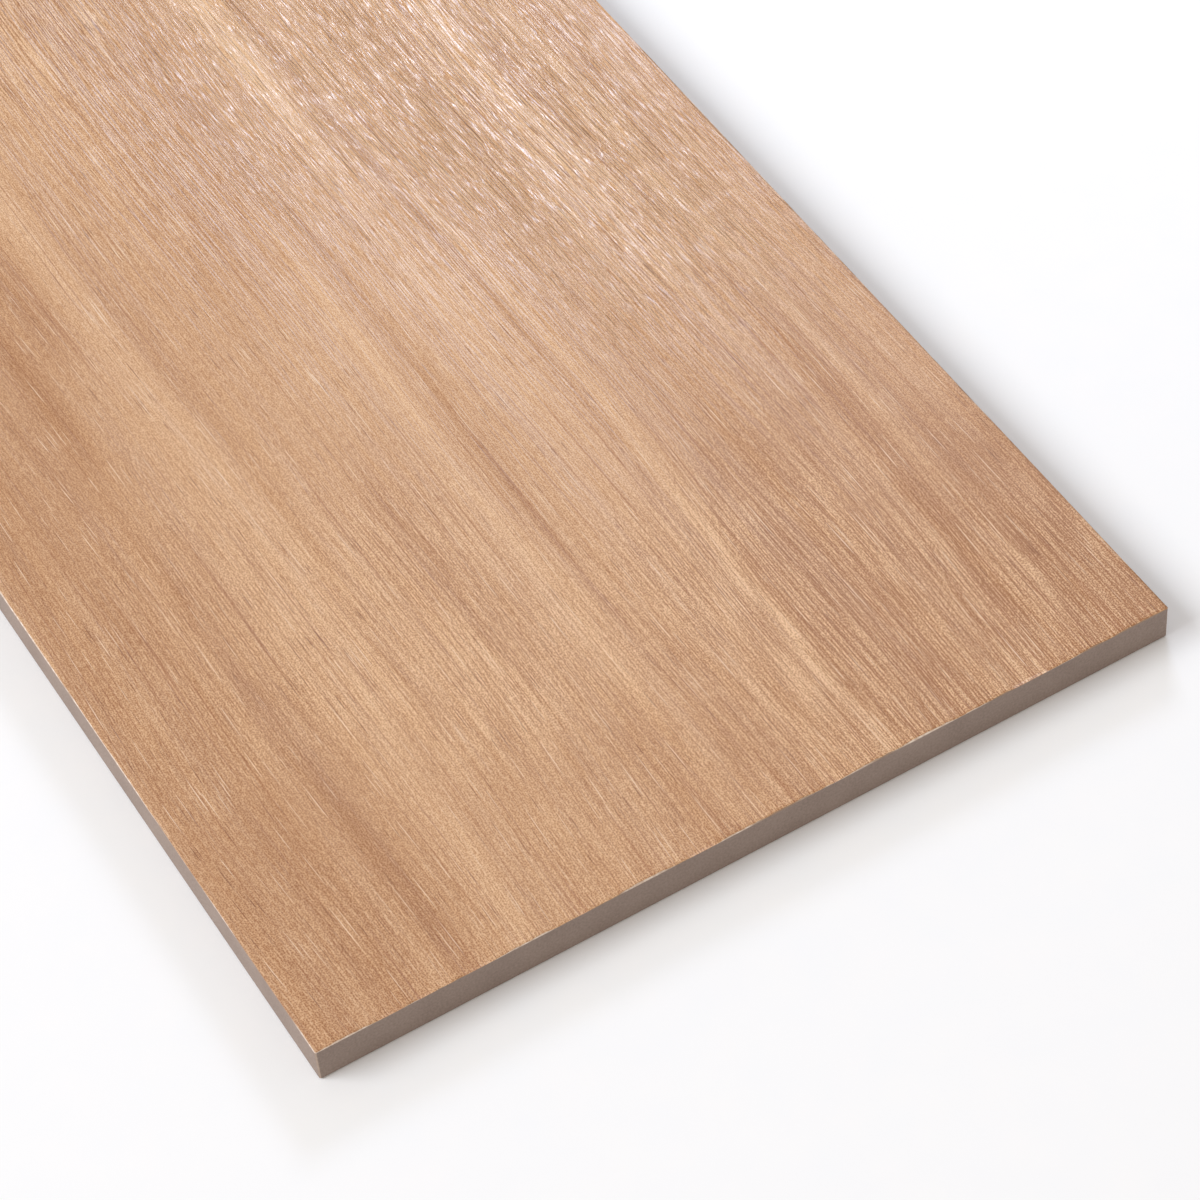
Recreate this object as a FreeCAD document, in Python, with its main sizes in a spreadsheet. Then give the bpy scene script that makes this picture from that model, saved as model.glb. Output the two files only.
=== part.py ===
"""Wood look porcelain plank tile, 200 x 1200 mm and 9 mm thick, lying face up.

The plank is one dry-pressed and fired piece: a flat bar with square, ground edges, a fine bevel
round the printed face, and a lattice of shallow recesses in the bed face that the adhesive grips.
X runs along the plank, Y across it and Z up. The origin is the centre of the bed face.
"""

import FreeCAD
import Part
import Sketcher
import os

# Lengths in millimetres, the draft in degrees: name, value, meaning
SIZES = [
    ("plank_length", 1200, "long edge, the usual one for a 200 mm plank"),
    ("plank_width", 200, "short edge"),
    ("plank_thick", 9, "bed face to printed face"),
    ("face_bevel", 0.3, "45 degree bevel ground round the printed face"),
    ("base_arris", 0.25, "arris taken off round the bed face"),
    ("corner_arris", 0.3, "arris taken off the four upright corners"),
    ("key_length", 33, "mouth of one recess, along the plank"),
    ("key_width", 25, "mouth of one recess, across the plank"),
    ("key_rib", 6, "rib between two recesses"),
    ("key_margin", 9, "least plain border round the recesses"),
    ("key_depth", 0.7, "depth of a recess"),
    ("key_corner", 3, "cut off each corner of a recess, both ways"),
    ("key_draft", 30, "lean of a recess's walls, so that the punch leaves the clay"),
]

# How the recesses repeat: as many as fit inside the margins, centred on the plank
PITCH_ALONG = "(sizes.key_length + sizes.key_rib)"
PITCH_ACROSS = "(sizes.key_width + sizes.key_rib)"
COUNT_ALONG = f"floor((sizes.plank_length - 2 * sizes.key_margin + sizes.key_rib) / {PITCH_ALONG})"
COUNT_ACROSS = f"floor((sizes.plank_width - 2 * sizes.key_margin + sizes.key_rib) / {PITCH_ACROSS})"

# Sketcher's numbers for the points of an edge, and for the sketch's own origin
START, END = 1, 2
ORIGIN = (-1, 1)

TOUCH = 1e-6  # two heights this near are one plane


def make_sizes(doc):
    """The sheet of driving dimensions, one alias a row."""
    sheet = doc.addObject("Spreadsheet::Sheet", "sizes")
    for row, (name, value, meaning) in enumerate(SIZES, start=1):
        sheet.set(f"A{row}", name)
        sheet.set(f"B{row}", str(value))
        sheet.set(f"C{row}", meaning)
        sheet.setAlias(f"B{row}", name)
    doc.recompute()
    return sheet


def origin_feature(body, role):
    """The body's own plane or axis that has this role."""
    return next(feature for feature in body.Origin.OriginFeatures if feature.Role == role)


def bed_sketch(body, name):
    """An empty sketch on the plane of the bed face."""
    sketch = body.newObject("Sketcher::SketchObject", name)
    sketch.AttachmentSupport = (origin_feature(body, "XY_Plane"), "")
    sketch.MapMode = "FlatFace"
    return sketch


def dimension(sketch, name, expression, *constraint):
    """Adds a dimension to a sketch and ties it to the sheet."""
    index = sketch.addConstraint(Sketcher.Constraint(*constraint))
    sketch.renameConstraint(index, name)
    sketch.setExpression(f"Constraints.{name}", expression)


def box_corners(length, width):
    """The corners of a rectangle about the origin, anticlockwise from the lowest."""
    x, y = length / 2, width / 2
    return [FreeCAD.Vector(-x, -y), FreeCAD.Vector(x, -y), FreeCAD.Vector(x, y), FreeCAD.Vector(-x, y)]


def square_sides(sketch, lines):
    """Makes these lines the bottom, right, top and left side of a rectangle."""
    bottom, right, top, left = lines
    for line in (bottom, top):
        sketch.addConstraint(Sketcher.Constraint("Horizontal", line))
    for line in (right, left):
        sketch.addConstraint(Sketcher.Constraint("Vertical", line))


def draw_plank_outline(sketch, sheet):
    """The plank's rectangle, centred on the origin."""
    corners = box_corners(sheet.plank_length, sheet.plank_width)
    for side in range(4):
        sketch.addGeometry(Part.LineSegment(corners[side], corners[(side + 1) % 4]))
    for side in range(4):
        sketch.addConstraint(Sketcher.Constraint("Coincident", side, END, (side + 1) % 4, START))
    square_sides(sketch, (0, 1, 2, 3))
    sketch.addConstraint(Sketcher.Constraint("Symmetric", 0, START, 2, START, *ORIGIN))
    dimension(sketch, "length", "sizes.plank_length", "DistanceX", 0, START, 0, END, sheet.plank_length)
    dimension(sketch, "width", "sizes.plank_width", "DistanceY", 1, START, 1, END, sheet.plank_width)


def draw_key_mouth(sketch, sheet):
    """The mouth of one recess: a rectangle with its corners cut off, centred on the sketch's origin.

    Lines 0, 2, 4 and 6 are the cuts, and 1, 3, 5 and 7 the bottom, right, top and left side.
    """
    corners = box_corners(sheet.key_length, sheet.key_width)
    points = []
    for number, corner in enumerate(corners):
        before, after = corners[number - 1], corners[(number + 1) % 4]
        points.append(corner + (before - corner).normalize() * sheet.key_corner)
        points.append(corner + (after - corner).normalize() * sheet.key_corner)
    for side in range(8):
        sketch.addGeometry(Part.LineSegment(points[side], points[(side + 1) % 8]))
    for side in range(8):
        sketch.addConstraint(Sketcher.Constraint("Coincident", side, END, (side + 1) % 8, START))
    square_sides(sketch, (1, 3, 5, 7))
    for cut in (2, 4, 6):
        sketch.addConstraint(Sketcher.Constraint("Perpendicular", cut - 2, cut))
        sketch.addConstraint(Sketcher.Constraint("Equal", 0, cut))
    sketch.addConstraint(Sketcher.Constraint("Symmetric", 0, START, 4, START, *ORIGIN))
    dimension(sketch, "cut_along", "sizes.key_corner", "DistanceX", 0, START, 0, END, sheet.key_corner)
    dimension(sketch, "cut_across", "sizes.key_corner", "DistanceY", 0, END, 0, START, sheet.key_corner)
    dimension(sketch, "length", "sizes.key_length", "DistanceX", 7, END, 3, START, sheet.key_length)
    dimension(sketch, "width", "sizes.key_width", "DistanceY", 1, END, 5, START, sheet.key_width)


def edges_where(shape, keep):
    """Names of the shape's edges whose two ends both satisfy keep(point)."""
    return [
        f"Edge{number}"
        for number, edge in enumerate(shape.Edges, start=1)
        if all(keep(vertex.Point) for vertex in edge.Vertexes)
    ]


def bevel(body, base, name, edges, size):
    """A 45 degree bevel along these edges of the base feature."""
    chamfer = body.newObject("PartDesign::Chamfer", name)
    chamfer.Base = (base, edges)
    chamfer.setExpression("Size", size)
    body.Document.recompute()
    return chamfer


def press_blank(body, sheet):
    """The pressed bar, before its edges are ground."""
    outline = bed_sketch(body, "plank_outline")
    draw_plank_outline(outline, sheet)
    blank = body.newObject("PartDesign::Pad", "pressed_blank")
    blank.Profile = outline
    blank.setExpression("Length", "sizes.plank_thick")
    body.Document.recompute()
    return blank


def grind_edges(body, blank, sheet):
    """The bevel round the printed face and the arris round the bed face."""
    top = edges_where(blank.Shape, lambda point: abs(point.z - sheet.plank_thick) < TOUCH)
    face = bevel(body, blank, "face_bevels", top, "sizes.face_bevel")
    bottom = edges_where(face.Shape, lambda point: abs(point.z) < TOUCH)
    return bevel(body, face, "base_arrises", bottom, "sizes.base_arris")


def draw_corner_cut(sketch, sheet):
    """What the arris takes off the corner with the highest X and Y, seen from above."""
    size = sheet.corner_arris
    corner = FreeCAD.Vector(sheet.plank_length / 2, sheet.plank_width / 2)
    points = [corner, corner - FreeCAD.Vector(size, 0), corner - FreeCAD.Vector(0, size)]
    for side in range(3):
        sketch.addGeometry(Part.LineSegment(points[side], points[(side + 1) % 3]))
    for side in range(3):
        sketch.addConstraint(Sketcher.Constraint("Coincident", side, END, (side + 1) % 3, START))
    sketch.addConstraint(Sketcher.Constraint("Horizontal", 0))
    sketch.addConstraint(Sketcher.Constraint("Vertical", 2))
    dimension(sketch, "half_length", "sizes.plank_length / 2", "DistanceX", *ORIGIN, 0, START, corner.x)
    dimension(sketch, "half_width", "sizes.plank_width / 2", "DistanceY", *ORIGIN, 0, START, corner.y)
    dimension(sketch, "arris_along", "sizes.corner_arris", "DistanceX", 0, END, 0, START, size)
    dimension(sketch, "arris_across", "sizes.corner_arris", "DistanceY", 2, START, 2, END, size)


def blunt_corners(body, sheet):
    """The arris on the upright corners: cut at one, and mirrored in the plank's middle planes."""
    triangle = bed_sketch(body, "corner_triangle")
    draw_corner_cut(triangle, sheet)
    cut = body.newObject("PartDesign::Pocket", "corner_arris")
    cut.Profile = triangle
    cut.Type = "ThroughAll"
    cut.Reversed = True
    body.Document.recompute()
    corners = body.newObject("PartDesign::MultiTransform", "corner_arrises")
    corners.Originals = [cut]
    mirrors = []
    for plane in ("YZ_Plane", "XZ_Plane"):
        mirror = body.newObject("PartDesign::Mirrored", f"mirror_in_{plane}")
        mirror.MirrorPlane = (origin_feature(body, plane), [""])
        mirrors.append(mirror)
    corners.Transformations = mirrors
    body.Tip = corners
    body.Document.recompute()
    return corners


def press_one_key(body, sheet):
    """The recess nearest the plank's low corner. Its walls lean inwards as they go up."""
    mouth = bed_sketch(body, "key_mouth")
    draw_key_mouth(mouth, sheet)
    mouth.setExpression("AttachmentOffset.Base.x", f"-({COUNT_ALONG} - 1) / 2 * {PITCH_ALONG}")
    mouth.setExpression("AttachmentOffset.Base.y", f"-({COUNT_ACROSS} - 1) / 2 * {PITCH_ACROSS}")
    recess = body.newObject("PartDesign::Pocket", "key_recess")
    recess.Profile = mouth
    recess.Reversed = True
    recess.setExpression("Length", "sizes.key_depth")
    recess.setExpression("TaperAngle", "-sizes.key_draft")
    body.Document.recompute()
    return recess


def repeat_key(body, recess):
    """The lattice of recesses, in rows along the plank and across it."""
    lattice = body.newObject("PartDesign::LinearPattern", "key_lattice")
    lattice.Originals = [recess]
    lattice.Direction = (origin_feature(body, "X_Axis"), [""])
    lattice.Direction2 = (origin_feature(body, "Y_Axis"), [""])
    lattice.setExpression("Occurrences", COUNT_ALONG)
    lattice.setExpression("Occurrences2", COUNT_ACROSS)
    lattice.setExpression("Length", f"({COUNT_ALONG} - 1) * {PITCH_ALONG}")
    lattice.setExpression("Length2", f"({COUNT_ACROSS} - 1) * {PITCH_ACROSS}")
    lattice.Refine = False  # no two recesses meet, so there are no faces to merge
    body.Tip = lattice
    body.Document.recompute()
    return lattice


def make_plank(doc, sheet):
    """The whole tile, one fired piece."""
    body = doc.addObject("PartDesign::Body", "plank_tile")
    body.Label = "plank_tile"
    blank = press_blank(body, sheet)
    grind_edges(body, blank, sheet)
    ground = blunt_corners(body, sheet)
    recess = press_one_key(body, sheet)
    lattice = repeat_key(body, recess)
    check_lattice(ground, recess, lattice)
    return body


def check_lattice(ground, recess, lattice):
    """Stops the build if the lattice didn't cut every recess it should."""
    wanted = lattice.Occurrences * lattice.Occurrences2
    one = ground.Shape.Volume - recess.Shape.Volume
    cut = (ground.Shape.Volume - lattice.Shape.Volume) / one
    print(f"{wanted} recesses of {one:.1f} mm3, and the lattice cut {cut:.3f}")
    if abs(cut - wanted) > 0.01:
        raise RuntimeError("the lattice has recesses missing")


def check(doc, bodies):
    """Stops the build if a feature failed, or a piece isn't one valid closed solid."""
    failed = [o.Name for o in doc.Objects if "Invalid" in o.State or "Error" in o.State]
    if failed:
        raise RuntimeError(f"these features failed: {failed}")
    for body in bodies:
        shape = body.Shape
        if shape.isNull() or not shape.isValid() or len(shape.Solids) != 1:
            raise RuntimeError(f"{body.Label} isn't one valid solid")


def main():
    doc = FreeCAD.newDocument("plank")
    sheet = make_sizes(doc)
    bodies = [make_plank(doc, sheet)]
    doc.recompute()
    check(doc, bodies)
    os.makedirs("parts", exist_ok=True)
    for body in bodies:
        body.Shape.exportStep(f"parts/{body.Label}.step")


main()
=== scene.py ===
"""The looks of a wood look porcelain plank tile, lying face up on a pale floor.

The plank is one closed mesh with its embossed face, ground edges and keyed bed, in place of the plain
solid. The wood is printed under a satin glaze, and the edges and bed are bare fired porcelain.
"""
import bpy
import math
import random
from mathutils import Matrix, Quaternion, Vector, noise
from mathutils.geometry import delaunay_2d_cdt


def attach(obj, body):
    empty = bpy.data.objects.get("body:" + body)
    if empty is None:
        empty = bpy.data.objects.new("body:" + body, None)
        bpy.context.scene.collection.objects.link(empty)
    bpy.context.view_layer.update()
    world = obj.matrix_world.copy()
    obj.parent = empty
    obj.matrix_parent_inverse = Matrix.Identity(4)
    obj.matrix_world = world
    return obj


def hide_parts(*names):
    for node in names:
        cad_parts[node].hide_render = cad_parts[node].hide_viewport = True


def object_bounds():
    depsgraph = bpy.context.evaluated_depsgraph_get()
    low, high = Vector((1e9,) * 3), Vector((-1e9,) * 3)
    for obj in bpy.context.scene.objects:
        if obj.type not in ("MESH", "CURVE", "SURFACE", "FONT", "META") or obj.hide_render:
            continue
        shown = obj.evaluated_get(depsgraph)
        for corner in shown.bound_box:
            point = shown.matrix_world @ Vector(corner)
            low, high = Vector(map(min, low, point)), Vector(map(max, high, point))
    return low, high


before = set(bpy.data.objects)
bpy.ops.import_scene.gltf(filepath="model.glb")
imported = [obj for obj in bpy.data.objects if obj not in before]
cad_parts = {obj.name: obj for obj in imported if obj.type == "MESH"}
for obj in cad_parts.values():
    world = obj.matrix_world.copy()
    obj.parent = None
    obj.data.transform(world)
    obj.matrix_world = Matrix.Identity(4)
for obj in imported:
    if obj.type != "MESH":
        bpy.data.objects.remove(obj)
cad_low, cad_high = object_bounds()

MM = 0.001

# The plank, in millimetres. Its length, width and thickness are those of the frame.
LENGTH, WIDTH, THICK = (cad_high - cad_low) / MM
FACE_BEVEL = 0.3
BASE_ARRIS = 0.25
CORNER_ARRIS = 0.3

# The recesses of the bed, and the faces round each of their corners
KEY_LENGTH, KEY_WIDTH, KEY_DEPTH = 33.0, 25.0, 0.7
KEY_RIB = 6.0
KEY_MARGIN = 9.0
KEY_CORNER = 4.0
KEY_CORNER_FACES = 4
KEY_LEAN = KEY_DEPTH * math.tan(math.radians(30))

# The soft wall of a recess, from its mouth to its floor: how far in and how deep each of its rings lies
KEY_WALL = [
    (-0.12, 0.0),
    (0.05, 0.1),
    (KEY_LEAN - 0.08, KEY_DEPTH - 0.12),
    (KEY_LEAN + 0.25, KEY_DEPTH),
]

# Points of the bed that are closer than this to a line lie on it
ON_LINE = 0.01

# The mesh of the embossed face: its cells, and how far the first line of it stands from the edge
CELL_ALONG, CELL_ACROSS, FIRST_LINE = 5.0, 0.7, 0.8

# The embossing: how deep the face lies below its highest point on average and at most, in millimetres,
# and its waves, each with its length along the plank, its length across it and its height
FACE_DEPTH = 0.2
DEEPEST = 0.42
FACE_WAVES = [(210.0, 22.0, 0.30), (75.0, 9.0, 0.13), (26.0, 4.6, 0.10)]

# The chips along the rim of the face, in the same way, and the bevel's width at its narrowest and widest
CHIP_WAVES = [(3.4, 3.4, 0.16)]
BEVEL_RANGE = (0.03, 0.45)

# How the printed grain wanders across the plank, in the same way
GRAIN_WAVES = [(460.0, 120.0, 5.0), (190.0, 44.0, 2.6)]

# Where the noise of each is taken from, and how far apart its layers are
FACE_SEED, CHIP_SEED, GRAIN_SEED = 3.1, 77.0, 41.7
LAYER_GAP = 7.3

# How much of a random band of the print lies on the plank at least, and the distance from the end that
# faces the camera within which none of them ends
BAND_LEAST = 60.0
FRONT_REACH = 180.0

# How many half widths a band reaches to each side, and how steeply it rises from its ends. At 1 it would
# be full only at its middle.
BAND_SIDES = 2.5
BAND_ENDS = 2.2

# Soft bands of the print near the end that faces the camera. Each has its start and end, measured
# from that end, its place across from the low long edge, its half width and its tone, 1 cream, -1 brown.
# They follow the broad light and dark of the face in the photograph.
FRONT_BANDS = [
    (-60, 300, 18, 20, -0.7),
    (-20, 150, 31, 4, -0.8),
    (150, 260, 32, 3, -1.2),
    (180, 290, 42, 6, -0.8),
    (-100, 380, 49, 6, 0.8),
    (50, 110, 57.5, 1.6, -0.7),
    (150, 270, 58, 2, -0.7),
    (-40, 170, 64, 6, 0.4),
    (60, 130, 77, 5, -0.7),
    (150, 520, 85, 11, -1.4),
    (235, 600, 85, 9, -1.2),
    (110, 330, 88, 26, 0.45),
    (20, 220, 94, 6, 0.5),
    # This wide band darkens the whole width at the end that faces the camera: painted shade, standing in
    # for the lamps' light falling off towards that end.
    (-80, 60, 100, 90, -0.25),
    (50, 220, 104, 1.2, -0.7),
    (-60, 90, 112, 10, -0.5),
    (110, 480, 121, 5, 0.3),
    (180, 560, 121, 9, 0.8),
    (70, 190, 122, 6, 0.8),
    (-90, 430, 128, 1.3, -1.0),
    (-100, 500, 132, 1.8, 1.0),
    (-60, 90, 135.5, 1.5, -1.3),
    (-60, 100, 139, 8, -0.8),
    (-60, 110, 150, 12, -1.1),
    (-50, 110, 170, 1.0, 0.8),
    (-60, 120, 172, 9, -0.8),
    (120, 620, 172, 18, 0.25),
    (-60, 70, 178, 20, -0.6),
    (-50, 140, 184.5, 1.2, -0.8),
    (-60, 90, 190, 12, -1.2),
]

# Areas where the print's hairlines are crisp, and areas where the embossing is rough, in the same way
FRONT_LINES = [
    (-60, 100, 140, 34, 1.0),
    (-60, 60, 186, 26, 0.9),
    (30, 130, 76, 22, 0.6),
    (50, 150, 30, 26, 0.45),
    (-60, 50, 20, 30, 0.35),
    (-60, 40, 74, 24, 0.3),
    (80, 520, 168, 34, 0.5),
    (160, 560, 84, 16, 0.4),
]
FRONT_RELIEF = [
    (70, 560, 168, 44, 1.0),
    (140, 640, 110, 40, 0.7),
]

# The most that the bands of a pattern add up to
PATTERN_MOST = {"print_tone": 3.0, "print_lines": 1.0, "relief": 1.0}

# The rows of the flat map that the face, the bed and the edges (low, high and both ends) take
FACE_ROWS = (0.325, 0.995)
BED_ROWS = (0.005, 0.185)
EDGE_ROWS = [(0.2, 0.23), (0.24, 0.27), (0.28, 0.31)]

# Where the low and the high end start in their rows, and how much of the rows each of them takes
END_STARTS = (0.02, 0.52)
END_SHARE = 0.2

# The heights at which an edge's arris, its ground side and its bevel meet, and where those lie in its rows
EDGE_HEIGHTS = [0, BASE_ARRIS, THICK - FACE_BEVEL, THICK]
EDGE_SHARES = [0, 0.12, 0.75, 1]

# The grain of the print: the length and width of one streak, in millimetres, and the noise's seed
FLAME = (400.0, 7.0, 1.0)
BAR = (170.0, 3.0, 2.0)
THREAD = (80.0, 1.2, 3.0)
HAIR = (30.0, 0.5, 4.0)
DASH = (2.0, 0.26, 5.0)
STROKE = (110.0, 0.42, 11.0)
PORE = (9.0, 0.26, 6.0)
# The pale flecks are partly print and partly painted glints, the highlights off the embossed grooves.
PALE_FLECK_AND_GLINT = (15.0, 0.26, 7.0)

# The ink's own dots and pinstripes: the length and width of one. The real ones are under 0.1 mm wide,
# which is too fine to show, so they are drawn as coarse as they need to be to show.
DOT = (0.42, 0.42)
PINSTRIPE = (24.0, 0.36)

# The print's tone where nothing moves it, and how far a full soft band does
TONE_MIDDLE, TONE_REACH = 0.452, 0.17

# How far each pattern moves the tone, from its lowest to its highest, and how much further the fine ones
# do where the hairlines are crisp
FLAME_TONE, BAR_TONE, THREAD_TONE, HAIR_TONE, DASH_TONE = 0.28, 0.18, 0.16, 0.08, 0.2
PINSTRIPE_TONE, CRISP_PINSTRIPE = 0.05, 0.55
DOT_TONE, CRISP_DOT = 0.4, 0.3

# The inks of the tone, and what is printed over them: each ink's colour and streak, the noise at which it
# starts and at which it is full, and how much of what is under it a full one covers
PRINT_BROWN, PRINT_TAN, PRINT_CREAM = "#9C6B44", "#C49972", "#E6C29B"
OVERPRINTS = [
    ("#955F40", STROKE, 0.33, 0.28, 0.4),
    ("#7A4C31", PORE, 0.27, 0.21, 0.7),
    # This pale coat is partly the print's own flecks and partly painted glints off the embossing.
    ("#F1D9BE", PALE_FLECK_AND_GLINT, 0.735, 0.79, 0.75),
]

# The ripples and crinkles of the glaze, as streaks, and how high they are in millimetres. Where the
# embossing is smooth, a share of their height is left.
RIPPLE, RIPPLE_HEIGHT = (20.0, 1.5, 8.0), 0.45
CRINKLE, CRINKLE_HEIGHT = (9.0, 0.42, 9.0), 0.42
SMOOTH_SHARE = 0.15

# How far the print's own streaks and dots stand up in the glaze, in millimetres
THREAD_HEIGHT, HAIR_HEIGHT, DOT_HEIGHT = 0.03, 0.03, 0.006

# The values of a pattern between which it turns from one state to the other
DASH_RANGE, DOT_RANGE, HAIR_RANGE = (0.38, 0.62), (0.1, 0.6), (0.3, 0.7)

# The glaze's roughness along its dark and its pale hairs, and what the rough embossing adds to it
GLAZE_ROUGHNESS = (0.47, 0.42)
EMBOSSED_ROUGHNESS = -0.2

# The colours of the fired body's dark and light grains, of the dust on it and how much that covers, and of
# the engobe that the bevel cuts through
EDGE_BODY = ("#87766C", "#9F8E83")
# The upright corners' colours are lighter than the edges' as a painted highlight: the light that their
# narrow arris catches.
PAINTED_HIGHLIGHT_CORNER_BODY = ("#A08C7D", "#B5A192")
BED_BODY = ("#9A8A80", "#B5A79C")
KILN_WASH, KILN_WASH_COVER = "#D8D2CA", 0.6
ENGOBE_DULL, ENGOBE_TAN, ENGOBE_PALE = "#A08772", "#CDB6A2", "#EADCCD"

# The fired body's grains, about 0.5 mm across, and their clouds, about 10 mm, as noise steps to the
# millimetre, and how far the grains stand up in millimetres
BODY_GRAINS, BODY_CLOUDS = 1.8, 0.09
BODY_GRAIN_HEIGHT = 0.03

# The kiln wash: its patches, about 8 mm across, in the same way, and how high up a rib it reaches
WASH_PATCHES, WASH_HEIGHT = 0.12, 0.35

# The chips of the engobe's line, about 1 mm across, and its dull stretches, about 15 mm, in the same way
ENGOBE_CHIPS, ENGOBE_STRETCHES = 0.8, 0.07

# An upright face whose normal leans more than this both along and across the plank is on a corner
CORNER_NORMAL = 0.5

# The camera, in metres: worked out from the plank's edges in the photograph, for a plank 200 mm wide
CAMERA_PLACE = (1.0345, -0.2508, 0.6614)
CAMERA_AIM = (0.5328, 0.0040, 0.0090)
CAMERA_ROLL = -5.38
CAMERA_LENS = 124.41

# The lamps, in metres: each one's place, the point that it faces, its width and height, its watts and its
# colour. The first is big and soft, and the second is the small one whose shine the glaze shows.
MAIN_LAMP = ((-0.6, -3.9, 3.3), (0.45, 0.0, 0.0), (3.6, 2.6), 205.0, "#F8FAFF")
SHINE_LAMP = ((-0.27, 0.56, 0.5), (0.39, 0.07, 0.0), (0.3, 0.2), 3.5, "#DCE8FF")

# The room's own light, and the floor in metres, with the two colours of its card
ROOM_COLOUR, ROOM_STRENGTH = "#FFF2E6", 0.56
FLOOR_SIZE = 40.0
FLOOR_GAP = 0.0001
FLOOR_DARK, FLOOR_PALE = "#F6FBFF", "#FAFDFF"


def linear(code):
    """An sRGB hex colour as the linear colour that a shader takes."""
    parts = [int(code[i:i + 2], 16) / 255 for i in (1, 3, 5)]
    return tuple(c / 12.92 if c <= 0.04045 else ((c + 0.055) / 1.055) ** 2.4 for c in parts) + (1.0,)


def add(tree, kind, *inputs, output=0, named=None, **settings):
    """Adds a node, sets it up, fills its inputs with values or other outputs, and returns one output."""
    made = tree.nodes.new("ShaderNode" + kind)
    for name, value in settings.items():
        setattr(made, name, value)
    for key, value in [*enumerate(inputs), *(named or {}).items()]:
        if isinstance(value, bpy.types.NodeSocket):
            tree.links.new(value, made.inputs[key])
        else:
            made.inputs[key].default_value = value
    return made.outputs[output]


def waves(x, y, layers, seed):
    """The sum of some layers of smooth noise, each with its length along, length across and height.

    A hill of the noise is one step of it across, so a wave of a hill and a hollow is two.
    """
    total = 0.0
    for number, (along, across, height) in enumerate(layers):
        place = Vector((2 * x / along, 2 * y / across, seed + LAYER_GAP * number))
        total += height * noise.noise(place)
    return total


def face_height(x, y):
    """How far the embossed face lies below the plank's full thickness, as a number up to 0."""
    return max(-DEEPEST, min(0.0, waves(x, y, FACE_WAVES, FACE_SEED) - FACE_DEPTH))


def grain_place(x, y):
    """Where across the plank the grain at this point comes from."""
    return y + waves(x, y, GRAIN_WAVES, GRAIN_SEED)


def scattered(front, count, seed, lengths, halves, strengths):
    """Bands as start, end, place, half width and strength: those near the camera, then random ones."""
    chance = random.Random(seed)
    bands = [(LENGTH / 2 - end, LENGTH / 2 - start, place - WIDTH / 2, half, strength)
             for start, end, place, half, strength in front]
    for _ in range(count):
        end = chance.uniform(-LENGTH / 2 + BAND_LEAST, LENGTH / 2 - FRONT_REACH)
        start = end - chance.uniform(*lengths)
        place = chance.uniform(-WIDTH / 2, WIDTH / 2)
        bands.append((start, end, place, chance.uniform(*halves), chance.uniform(*strengths)))
    return bands


def band_sum(x, across, bands):
    """What the bands add up to at a point: each fades out at its ends and its sides."""
    total = 0.0
    for start, end, place, half, strength in bands:
        aside = (across - place) / half
        if abs(aside) > BAND_SIDES or not start < x < end:
            continue
        middle = 1 - abs(2 * (x - start) / (end - start) - 1)
        fade = min(1.0, BAND_ENDS * middle)
        total += strength * fade * fade * (3 - 2 * fade) * math.exp(-aside * aside)
    return total


def grid_lines(size, cell):
    """The places of a face's grid lines across one of its sizes, with one close to each edge."""
    inner = size - 2 * FIRST_LINE
    count = round(inner / cell)
    return [-size / 2] + [-inner / 2 + inner * i / count for i in range(count + 1)] + [size / 2]


class Plank:
    """The plank's mesh in the making: its points in millimetres, and its faces by region."""

    def __init__(self):
        self.points = []
        self.faces = []
        self.regions = []
        self.known = {}

    def point(self, x, y, z):
        """The number of a new point."""
        self.points.append((x, y, z))
        return len(self.points) - 1

    def shared(self, x, y, z):
        """The number of the point at this place, made only once."""
        key = (round(x, 3), round(y, 3), round(z, 3))
        if key not in self.known:
            self.known[key] = self.point(x, y, z)
        return self.known[key]

    def face(self, corners, region):
        """One face, from the numbers of its points, and the part of the plank that it belongs to."""
        self.faces.append(corners)
        self.regions.append(region)

    def strip(self, lower, upper, region):
        """A closed strip of four-sided faces between two rings of as many points."""
        for i in range(len(lower)):
            j = (i + 1) % len(lower)
            self.face((lower[i], lower[j], upper[j], upper[i]), region)


def outline(xs, ys):
    """The grid's rim, anticlockwise from the low corner, as indices along and across."""
    last_x, last_y = len(xs) - 1, len(ys) - 1
    rim = [(i, 0) for i in range(last_x)]
    rim += [(last_x, j) for j in range(last_y)]
    rim += [(i, last_y) for i in range(last_x, 0, -1)]
    rim += [(0, j) for j in range(last_y, 0, -1)]
    return rim


def rim_place(xs, ys, i, j, inset):
    """A point of the outline, drawn in by this much, with each corner cut off flat."""
    last_x, last_y = len(xs) - 1, len(ys) - 1
    side_x, side_y = math.copysign(1, xs[i]), math.copysign(1, ys[j])
    cut = CORNER_ARRIS + inset * math.tan(math.pi / 8)
    if i in (0, last_x) and j in (0, last_y):
        back = CORNER_ARRIS / 2 + inset * math.sqrt(0.5)
        return Vector((xs[i] - side_x * back, ys[j] - side_y * back))
    if j in (0, last_y):
        x = side_x * (LENGTH / 2 - cut) if i in (1, last_x - 1) else xs[i]
        return Vector((x, ys[j] - side_y * inset))
    y = side_y * (WIDTH / 2 - cut) if j in (1, last_y - 1) else ys[j]
    return Vector((xs[i] - side_x * inset, y))


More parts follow.
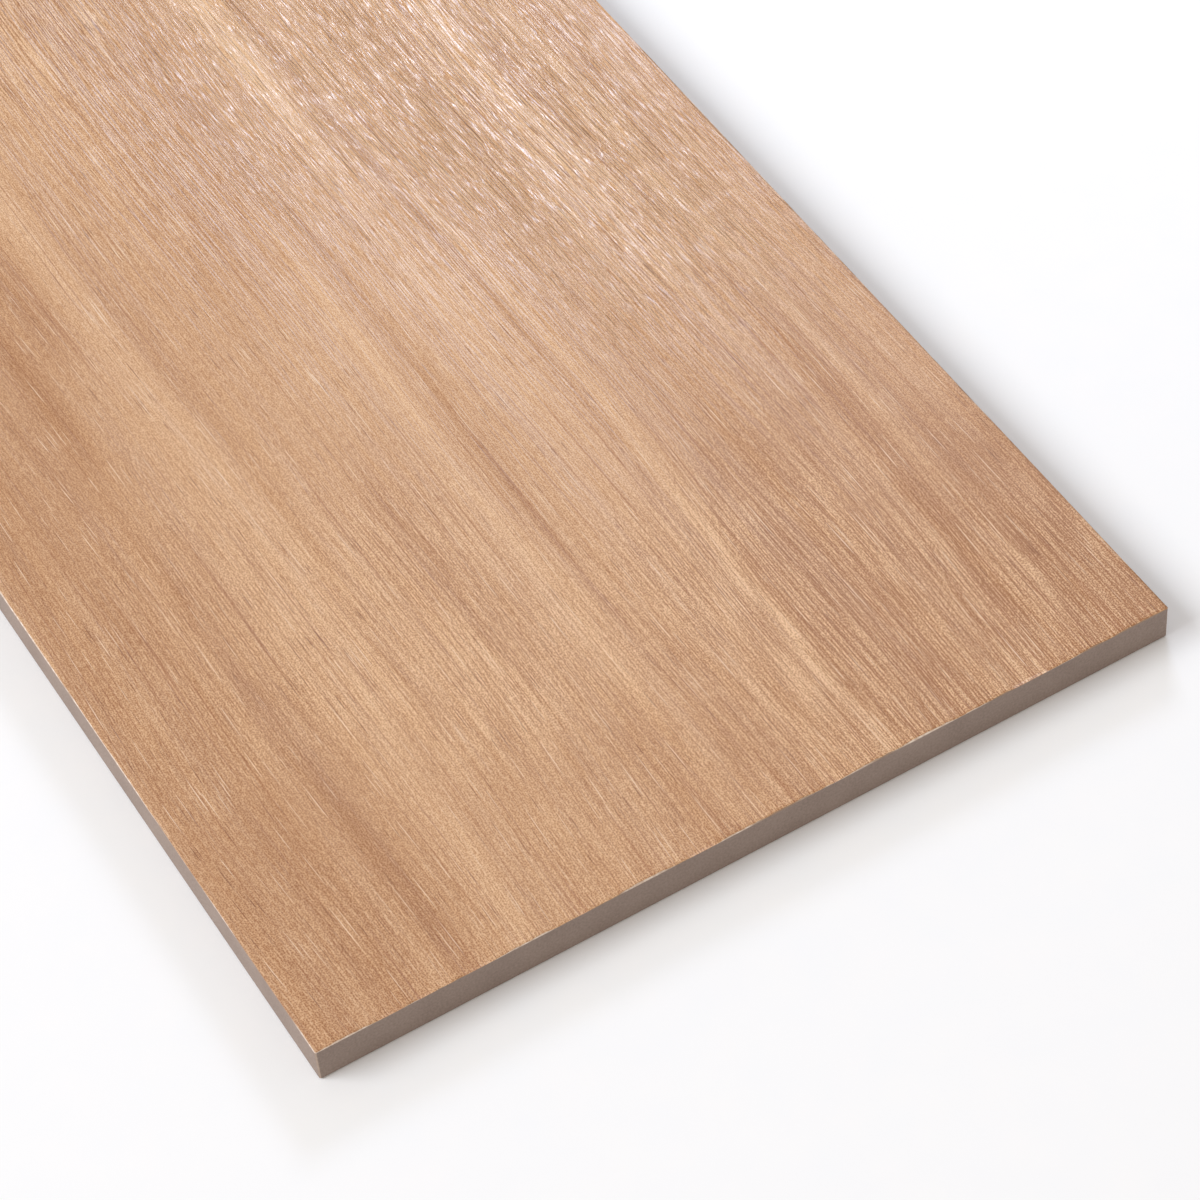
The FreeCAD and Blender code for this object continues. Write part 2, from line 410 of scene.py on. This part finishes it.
def emboss_face(plank, xs, ys):
    """The printed face, and the ring of points where its rim meets the bevel.

    The bevel is ground at one angle, so it is narrow where the face lies low, and its rim is chipped.
    """
    rim = outline(xs, ys)
    narrowest, widest = BEVEL_RANGE
    numbers = {}
    for i, j in rim:
        height = face_height(xs[i], ys[j])
        inset = FACE_BEVEL + height + waves(xs[i], ys[j], CHIP_WAVES, CHIP_SEED)
        place = rim_place(xs, ys, i, j, max(narrowest, min(inset, widest)))
        numbers[i, j] = plank.point(*place, THICK + height)
    for i, x in enumerate(xs):
        for j, y in enumerate(ys):
            if (i, j) not in numbers:
                numbers[i, j] = plank.point(x, y, THICK + face_height(x, y))
    for i in range(len(xs) - 1):
        for j in range(len(ys) - 1):
            corners = (numbers[i, j], numbers[i + 1, j], numbers[i + 1, j + 1], numbers[i, j + 1])
            plank.face(corners, "face")
    return [numbers[spot] for spot in rim]


def edge_ring(plank, xs, ys, inset, z):
    """A ring of points round the plank, this far in from its outline, at one height."""
    return [plank.point(*rim_place(xs, ys, i, j, inset), z) for i, j in outline(xs, ys)]


def grind_edges(plank, rim, xs, ys):
    """The bevel round the face, the upright edges and the arris round the bed."""
    below_bevel = edge_ring(plank, xs, ys, 0.0, THICK - FACE_BEVEL)
    above_arris = edge_ring(plank, xs, ys, 0.0, BASE_ARRIS)
    bed_rim = edge_ring(plank, xs, ys, BASE_ARRIS, 0.0)
    plank.strip(below_bevel, rim, "bevel")
    plank.strip(above_arris, below_bevel, "edge")
    plank.strip(bed_rim, above_arris, "arris")
    return bed_rim


def rounded_loop(inset):
    """The outline of a recess with rounded corners, this far in from its mouth, about its centre."""
    radius = KEY_CORNER - inset
    loop = []
    for quarter, (sx, sy) in enumerate(((1, 1), (-1, 1), (-1, -1), (1, -1))):
        centre = Vector((sx * (KEY_LENGTH / 2 - KEY_CORNER), sy * (KEY_WIDTH / 2 - KEY_CORNER)))
        for step in range(KEY_CORNER_FACES + 1):
            angle = math.pi / 2 * (quarter + step / KEY_CORNER_FACES)
            loop.append(centre + radius * Vector((math.cos(angle), math.sin(angle))))
    return loop


def cell_loop():
    """The middle line of the ribs round one recess, with a point for each of the recess's own."""
    half_x, half_y = (KEY_LENGTH + KEY_RIB) / 2, (KEY_WIDTH + KEY_RIB) / 2
    diagonal = KEY_CORNER_FACES // 2
    loop = []
    for number, spot in enumerate(rounded_loop(0.0)):
        quarter, step = divmod(number, KEY_CORNER_FACES + 1)
        on_x_side = step < diagonal if quarter % 2 == 0 else step > diagonal
        side_x, side_y = math.copysign(half_x, spot.x), math.copysign(half_y, spot.y)
        if step == diagonal:
            loop.append(Vector((side_x, side_y)))
        elif on_x_side:
            loop.append(Vector((side_x, spot.y)))
        else:
            loop.append(Vector((spot.x, side_y)))
    return loop


def key_counts():
    """How many recesses fit along and across the plank."""
    along = math.floor((LENGTH - 2 * KEY_MARGIN + KEY_RIB) / (KEY_LENGTH + KEY_RIB))
    across = math.floor((WIDTH - 2 * KEY_MARGIN + KEY_RIB) / (KEY_WIDTH + KEY_RIB))
    return along, across


def press_bed(plank):
    """The lattice of recesses in the bed, with soft edges where the punch let go of the clay."""
    along, across = key_counts()
    loops = [(rounded_loop(inset), depth) for inset, depth in KEY_WALL]
    ribs = cell_loop()
    for i in range(along):
        for j in range(across):
            centre = Vector(((i - (along - 1) / 2) * (KEY_LENGTH + KEY_RIB),
                             (j - (across - 1) / 2) * (KEY_WIDTH + KEY_RIB)))
            rings = [[plank.shared(*(centre + spot), 0.0) for spot in ribs]]
            for loop, depth in loops:
                rings.append([plank.point(*(centre + spot), depth) for spot in loop])
            for number, region in enumerate(("bed", "recess", "recess", "recess")):
                plank.strip(rings[number + 1], rings[number], region)
            plank.face(tuple(reversed(rings[-1])), "bed")


def bed_border(plank, bed_rim):
    """The plain border between the outer ribs and the rim of the bed, as triangles."""
    along, across = key_counts()
    half_x, half_y = along * (KEY_LENGTH + KEY_RIB) / 2, across * (KEY_WIDTH + KEY_RIB) / 2
    rib_rim = [n for (x, y, z), n in plank.known.items()
               if abs(abs(x) - half_x) < ON_LINE or abs(abs(y) - half_y) < ON_LINE]
    rib_rim.sort(key=lambda n: math.atan2(plank.points[n][1] / half_y, plank.points[n][0] / half_x))
    numbers = bed_rim + rib_rim
    spots = [Vector(plank.points[n][:2]) for n in numbers]
    outer, inner = len(bed_rim), len(rib_rim)
    edges = [(i, (i + 1) % outer) for i in range(outer)]
    edges += [(outer + i, outer + (i + 1) % inner) for i in range(inner)]
    _, _, faces, sources, _, _ = delaunay_2d_cdt(spots, edges, [], 1, 1e-5)
    for face in faces:
        corners = [sources[i][0] for i in face]
        if min(corners) < outer:
            plank.face(tuple(numbers[i] for i in reversed(corners)), "bed")


def map_place(region, middle, x, y, z):
    """Where a point goes in the plank's flat map, which gives the printed face most of the picture.

    The face and the bed are squeezed along the plank to fit it, and each edge is a strip of its own.
    """
    if region == "face":
        low, high = FACE_ROWS
        return x / LENGTH + 0.5, low + (high - low) * (y / WIDTH + 0.5)
    if region in ("bed", "recess"):
        low, high = BED_ROWS
        return x / LENGTH + 0.5, low + (high - low) * (y / WIDTH + 0.5)
    on_end = LENGTH / 2 - abs(middle.x) < WIDTH / 2 - abs(middle.y)
    if on_end:
        low, high = EDGE_ROWS[2]
        along = END_STARTS[middle.x > 0] + END_SHARE * (y / WIDTH + 0.5)
    else:
        low, high = EDGE_ROWS[middle.y > 0]
        along = x / LENGTH + 0.5
    step = 0
    while z > EDGE_HEIGHTS[step + 1] and step < 2:
        step += 1
    part = (z - EDGE_HEIGHTS[step]) / (EDGE_HEIGHTS[step + 1] - EDGE_HEIGHTS[step])
    share = EDGE_SHARES[step] + (EDGE_SHARES[step + 1] - EDGE_SHARES[step]) * part
    return along, low + (high - low) * share


def finish_of(polygon, region, names):
    """The name of a face's finish.

    The arris on the upright corners has its own lighter finish, a painted highlight of the light that it
    catches, and a region without a finish has that of the edges.
    """
    on_corner = min(abs(polygon.normal.x), abs(polygon.normal.y)) > CORNER_NORMAL
    if region == "edge" and on_corner:
        return "corner"
    return region if region in names else "edge"


def fire_plank(plank, materials):
    """Turns the points and faces into the finished mesh, with its map, its grain and its materials."""
    mesh = bpy.data.meshes.new("fired_plank")
    mesh.from_pydata([Vector(p) * MM for p in plank.points], [], plank.faces)
    names = list(materials)
    for material in materials.values():
        mesh.materials.append(material)
    flat_map = mesh.uv_layers.new(name="OFBake")
    for polygon, region in zip(mesh.polygons, plank.regions):
        polygon.material_index = names.index(finish_of(polygon, region, names))
        polygon.use_smooth = region in ("face", "recess")
        middle = polygon.center / MM
        for corner in polygon.loop_indices:
            point = plank.points[mesh.loops[corner].vertex_index]
            flat_map.data[corner].uv = map_place(region, middle, *point)
    print_face(mesh, plank.points)
    mesh.validate()
    piece = bpy.data.objects.new("fired_plank", mesh)
    bpy.context.collection.objects.link(piece)
    return piece


def print_face(mesh, points):
    """Gives each point of the face its place across the grain, its tone, its lines and its roughness."""
    patterns = {
        "print_tone": scattered(FRONT_BANDS, count=110, seed=12, lengths=(160, 620),
                                halves=(1.2, 11), strengths=(-1, 1)),
        "print_lines": scattered(FRONT_LINES, count=18, seed=5, lengths=(250, 600),
                                 halves=(8, 30), strengths=(0.3, 0.8)),
        "relief": scattered(FRONT_RELIEF, count=6, seed=8, lengths=(600, 1000),
                            halves=(20, 50), strengths=(0.2, 0.6)),
    }
    across = mesh.attributes.new("grain_across", "FLOAT", "POINT").data
    places = [grain_place(x, y) for x, y, z in points]
    across.foreach_set("value", places)
    for name, bands in patterns.items():
        most = PATTERN_MOST[name]
        values = [min(most, band_sum(x, place, bands)) if z > THICK / 2 else 0.0
                  for (x, y, z), place in zip(points, places)]
        mesh.attributes.new(name, "FLOAT", "POINT").data.foreach_set("value", values)


def millimetres(tree):
    """Where a point lies on the plank, in millimetres."""
    metres = add(tree, "TexCoord", output="Object")
    return add(tree, "VectorMath", metres, (1 / MM,) * 3, operation="MULTIPLY")


def streaks(tree, place, streak, detail=0.0):
    """Noise drawn out along the grain, from the length and width of one streak and a seed."""
    length, width, seed = streak
    spot = add(tree, "Mapping", place, named={"Location": (seed,) * 3, "Scale": (1 / length, 1 / width, 1)})
    return add(tree, "TexNoise", spot, named={"Scale": 1.0, "Detail": detail}, noise_dimensions="3D")


def dashed(tree, place, size):
    """Evenly spread dashes, 0 at their middles and 1 between them, from the length and width of one."""
    length, width = size
    spot = add(tree, "VectorMath", place, (1 / length, 1 / width, 0.0), operation="MULTIPLY")
    away = add(tree, "TexVoronoi", spot, named={"Scale": 1.0}, voronoi_dimensions="2D")
    return add(tree, "MapRange", away, *DOT_RANGE, interpolation_type="SMOOTHSTEP")


def summed(tree, base, parts):
    """A base value with patterns added to it: each pattern's distance from its middle times its weight."""
    total = base
    for pattern, weight in parts:
        centred = add(tree, "Math", pattern, 0.5, operation="SUBTRACT")
        total = add(tree, "Math", centred, weight, total, operation="MULTIPLY_ADD")
    return total


def coated(tree, colour, coats, fade="SMOOTHSTEP"):
    """A colour with coats of others over it, one after another.

    Each coat has its colour, the pattern that lays it, the pattern's values where it is missing and where
    it is full, and how much of what is under it a full coat covers.
    """
    for code, pattern, missing, full, most in coats:
        cover = add(tree, "MapRange", pattern, missing, full, 0.0, most, interpolation_type=fade)
        colour = add(tree, "Mix", named={0: cover, 6: colour, 7: linear(code)}, output=2, data_type="RGBA")
    return colour


def new_material(name):
    """A material with an empty principled shader, and its tree."""
    material = bpy.data.materials.new(name)
    material.use_nodes = True
    return material, material.node_tree, material.node_tree.nodes["Principled BSDF"]


def printed_glaze():
    """Satin glaze over an inkjet print of light oak.

    The eye gets long hairlines and soft flames of cream and red brown, short pale flecks that are partly
    print and partly painted glints, a fine dot of ink, and a broad soft shine that breaks up on the
    embossing.
    """
    material, tree, shader = new_material("printed_satin_glaze")
    spot = millimetres(tree)
    along = add(tree, "SeparateXYZ", spot)
    across = add(tree, "Attribute", attribute_name="grain_across", output="Fac")
    grain = add(tree, "CombineXYZ", along, across, 0.0)
    relief = add(tree, "Attribute", attribute_name="relief", output="Fac")
    threads = streaks(tree, grain, THREAD)
    hairs = streaks(tree, grain, HAIR)
    dots = dashed(tree, spot, DOT)
    tone = ink_tone(tree, grain, threads, hairs, dots)
    colour = ink_colour(tree, grain, tone)
    embossed = glaze_height(tree, grain, relief)
    raised = [(threads, THREAD_HEIGHT), (hairs, HAIR_HEIGHT), (dots, DOT_HEIGHT)]
    height = summed(tree, embossed, raised)
    normal = add(tree, "Bump", named={"Strength": 1.0, "Distance": MM, "Height": height})
    matt = add(tree, "MapRange", hairs, *HAIR_RANGE, *GLAZE_ROUGHNESS, interpolation_type="SMOOTHSTEP")
    rough = add(tree, "Math", relief, EMBOSSED_ROUGHNESS, matt, operation="MULTIPLY_ADD")
    tree.links.new(colour, shader.inputs["Base Color"])
    tree.links.new(normal, shader.inputs["Normal"])
    tree.links.new(rough, shader.inputs["Roughness"])
    shader.inputs["IOR"].default_value = 1.52
    return material


def ink_tone(tree, grain, threads, hairs, dots):
    """How light the print is, as a number that is 0 for brown, 0.5 for tan and 1 for cream."""
    tone = add(tree, "Attribute", attribute_name="print_tone", output="Fac")
    lines = add(tree, "Attribute", attribute_name="print_lines", output="Fac")
    flames = streaks(tree, grain, FLAME)
    bars = streaks(tree, grain, BAR)
    dashes = streaks(tree, grain, DASH)
    crisp_dashes = add(tree, "MapRange", dashes, *DASH_RANGE, interpolation_type="SMOOTHSTEP")
    pinstripes = dashed(tree, grain, PINSTRIPE)
    banded = add(tree, "Math", tone, TONE_REACH, TONE_MIDDLE, operation="MULTIPLY_ADD")
    striped = add(tree, "Math", lines, CRISP_PINSTRIPE, PINSTRIPE_TONE, operation="MULTIPLY_ADD")
    dotted = add(tree, "Math", lines, CRISP_DOT, DOT_TONE, operation="MULTIPLY_ADD")
    return summed(tree, banded, [
        (flames, FLAME_TONE),
        (bars, BAR_TONE),
        (threads, THREAD_TONE),
        (hairs, HAIR_TONE),
        (crisp_dashes, DASH_TONE),
        (pinstripes, striped),
        (dots, dotted),
    ])


def ink_colour(tree, grain, tone):
    """The print's tone in its three inks, with brown strokes and pores, and pale flecks over them that are
    partly print and partly painted glints.
    """
    shades = [(PRINT_TAN, tone, 0.0, 0.5, 1.0), (PRINT_CREAM, tone, 0.5, 1.0, 1.0)]
    colour = coated(tree, linear(PRINT_BROWN), shades, fade="LINEAR")
    coats = [(ink, streaks(tree, grain, streak), missing, full, most)
             for ink, streak, missing, full, most in OVERPRINTS]
    return coated(tree, colour, coats)


def glaze_height(tree, grain, relief):
    """The ripples and crinkles of the glaze, in millimetres, deeper where the embossing is rough."""
    ripples = streaks(tree, grain, RIPPLE, detail=1.0)
    crinkles = streaks(tree, grain, CRINKLE)
    rough_height = summed(tree, 0.0, [(ripples, RIPPLE_HEIGHT), (crinkles, CRINKLE_HEIGHT)])
    deep = add(tree, "Math", relief, 1 - SMOOTH_SHARE, SMOOTH_SHARE, operation="MULTIPLY_ADD")
    return add(tree, "Math", rough_height, deep, operation="MULTIPLY")


def fired_body(name, body, dust_cover=0.0):
    """Bare vitrified porcelain, ground at the edges and as pressed on the bed.

    The eye gets a dull grey brown with a fine speckle of lighter and darker grains.
    """
    material, tree, shader = new_material(name)
    spot = millimetres(tree)
    grains = add(tree, "TexNoise", spot, named={"Scale": BODY_GRAINS, "Detail": 2.0})
    clouds = add(tree, "TexNoise", spot, named={"Scale": BODY_CLOUDS, "Detail": 2.0})
    speckle = summed(tree, 0.5, [(grains, 0.9), (clouds, 0.5)])
    dark, light = body
    colour = coated(tree, linear(dark), [(light, speckle, 0.1, 0.9, 1.0)])
    if dust_cover:
        colour = dusted(tree, spot, colour, dust_cover)
    height = summed(tree, 0.0, [(grains, BODY_GRAIN_HEIGHT)])
    normal = add(tree, "Bump", named={"Strength": 1.0, "Distance": MM, "Height": height})
    tree.links.new(colour, shader.inputs["Base Color"])
    tree.links.new(normal, shader.inputs["Normal"])
    shader.inputs["Roughness"].default_value = 0.72
    shader.inputs["IOR"].default_value = 1.5
    return material


def dusted(tree, spot, colour, dust_cover):
    """White kiln wash on the ribs of the bed, rubbed thin in patches."""
    height = add(tree, "SeparateXYZ", spot, output=2)
    low = add(tree, "MapRange", height, WASH_HEIGHT, 0.0, interpolation_type="SMOOTHSTEP")
    patches = add(tree, "TexNoise", spot, named={"Scale": WASH_PATCHES, "Detail": 4.0})
    rub = add(tree, "MapRange", patches, 0.35, 0.65, interpolation_type="SMOOTHSTEP")
    dust = add(tree, "Math", low, rub, operation="MULTIPLY")
    return coated(tree, colour, [(KILN_WASH, dust, 0.0, 1.0, dust_cover)], fade="LINEAR")


def cut_engobe():
    """The pale engobe under the print, where the bevel is ground through it and the clear glaze.

    The eye gets a fine light line round the face, chipped and dull in stretches.
    """
    material, tree, shader = new_material("cut_engobe")
    spot = millimetres(tree)
    chips = add(tree, "TexNoise", spot, named={"Scale": ENGOBE_CHIPS, "Detail": 3.0})
    stretches = add(tree, "TexNoise", spot, named={"Scale": ENGOBE_STRETCHES, "Detail": 2.0})
    colour = coated(tree, linear(ENGOBE_TAN), [
        (ENGOBE_PALE, chips, 0.35, 0.65, 1.0),
        (ENGOBE_DULL, stretches, 0.55, 0.4, 1.0),
    ])
    tree.links.new(colour, shader.inputs["Base Color"])
    shader.inputs["Roughness"].default_value = 0.5
    shader.inputs["IOR"].default_value = 1.5
    return material


def make_camera():
    """The photograph's camera: its place, the point on the face that it looks at, its roll and its lens."""
    data = bpy.data.cameras.new("camera")
    data.sensor_width = 36.0
    data.lens = CAMERA_LENS
    data.clip_start, data.clip_end = 0.01, 100.0
    camera = bpy.data.objects.new("camera", data)
    camera.location = CAMERA_PLACE
    look = Vector(CAMERA_AIM) - Vector(CAMERA_PLACE)
    camera.rotation_mode = "QUATERNION"
    roll = Quaternion((0, 0, 1), math.radians(CAMERA_ROLL))
    camera.rotation_quaternion = look.to_track_quat("-Z", "Y") @ roll
    bpy.context.collection.objects.link(camera)
    bpy.context.scene.camera = camera


def make_softbox(name, place, aim, size, power, colour):
    """One soft lamp, facing the point that it lights."""
    data = bpy.data.lights.new(name, "AREA")
    data.shape = "RECTANGLE"
    data.size, data.size_y = size
    data.energy = power
    data.color = linear(colour)[:3]
    lamp = bpy.data.objects.new(name, data)
    lamp.location = place
    lamp.rotation_mode = "QUATERNION"
    lamp.rotation_quaternion = (Vector(aim) - Vector(place)).to_track_quat("-Z", "Y")
    bpy.context.collection.objects.link(lamp)


def make_room():
    """The pale room light, which fills the shadows."""
    world = bpy.data.worlds.new("room")
    world.use_nodes = True
    background = world.node_tree.nodes["Background"]
    background.inputs["Color"].default_value = linear(ROOM_COLOUR)
    background.inputs["Strength"].default_value = ROOM_STRENGTH
    bpy.context.scene.world = world
    bpy.context.scene.view_settings.view_transform = "Standard"


def make_floor():
    """A plain pale floor, a hair below the bed so that the two don't fight for the same plane."""
    material, tree, shader = new_material("white_studio_card")
    metres = add(tree, "TexCoord", output="Object")
    fibres = add(tree, "TexNoise", metres, named={"Scale": 90.0, "Detail": 3.0})
    colour = coated(tree, linear(FLOOR_DARK), [(FLOOR_PALE, fibres, 0.0, 1.0, 1.0)], fade="LINEAR")
    tree.links.new(colour, shader.inputs["Base Color"])
    shader.inputs["Roughness"].default_value = 0.9
    mesh = bpy.data.meshes.new("floor")
    half = FLOOR_SIZE / 2
    corners = [(-half, -half, 0), (half, -half, 0), (half, half, 0), (-half, half, 0)]
    mesh.from_pydata(corners, [], [(0, 1, 2, 3)])
    mesh.materials.append(material)
    floor = bpy.data.objects.new("floor", mesh)
    floor.location.z = -FLOOR_GAP
    bpy.context.collection.objects.link(floor)


def make_plank():
    """The whole tile, in place of the plain solid."""
    xs = grid_lines(LENGTH, CELL_ALONG)
    ys = grid_lines(WIDTH, CELL_ACROSS)
    plank = Plank()
    rim = emboss_face(plank, xs, ys)
    bed_rim = grind_edges(plank, rim, xs, ys)
    press_bed(plank)
    bed_border(plank, bed_rim)
    edge = fired_body("ground_porcelain_edge", EDGE_BODY)
    bed = fired_body("pressed_porcelain_bed", BED_BODY, dust_cover=KILN_WASH_COVER)
    # The corners' lighter colour is a painted highlight of the light that their arris catches.
    corner = fired_body("porcelain_corner_painted_highlight", PAINTED_HIGHLIGHT_CORNER_BODY)
    materials = {"face": printed_glaze(), "bevel": cut_engobe(), "edge": edge, "corner": corner,
                 "bed": bed, "recess": bed}
    piece = fire_plank(plank, materials)
    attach(piece, "root")
    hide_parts("plank_tile")


make_room()
make_floor()
make_plank()
make_camera()
make_softbox("key", *MAIN_LAMP)
make_softbox("shine", *SHINE_LAMP)
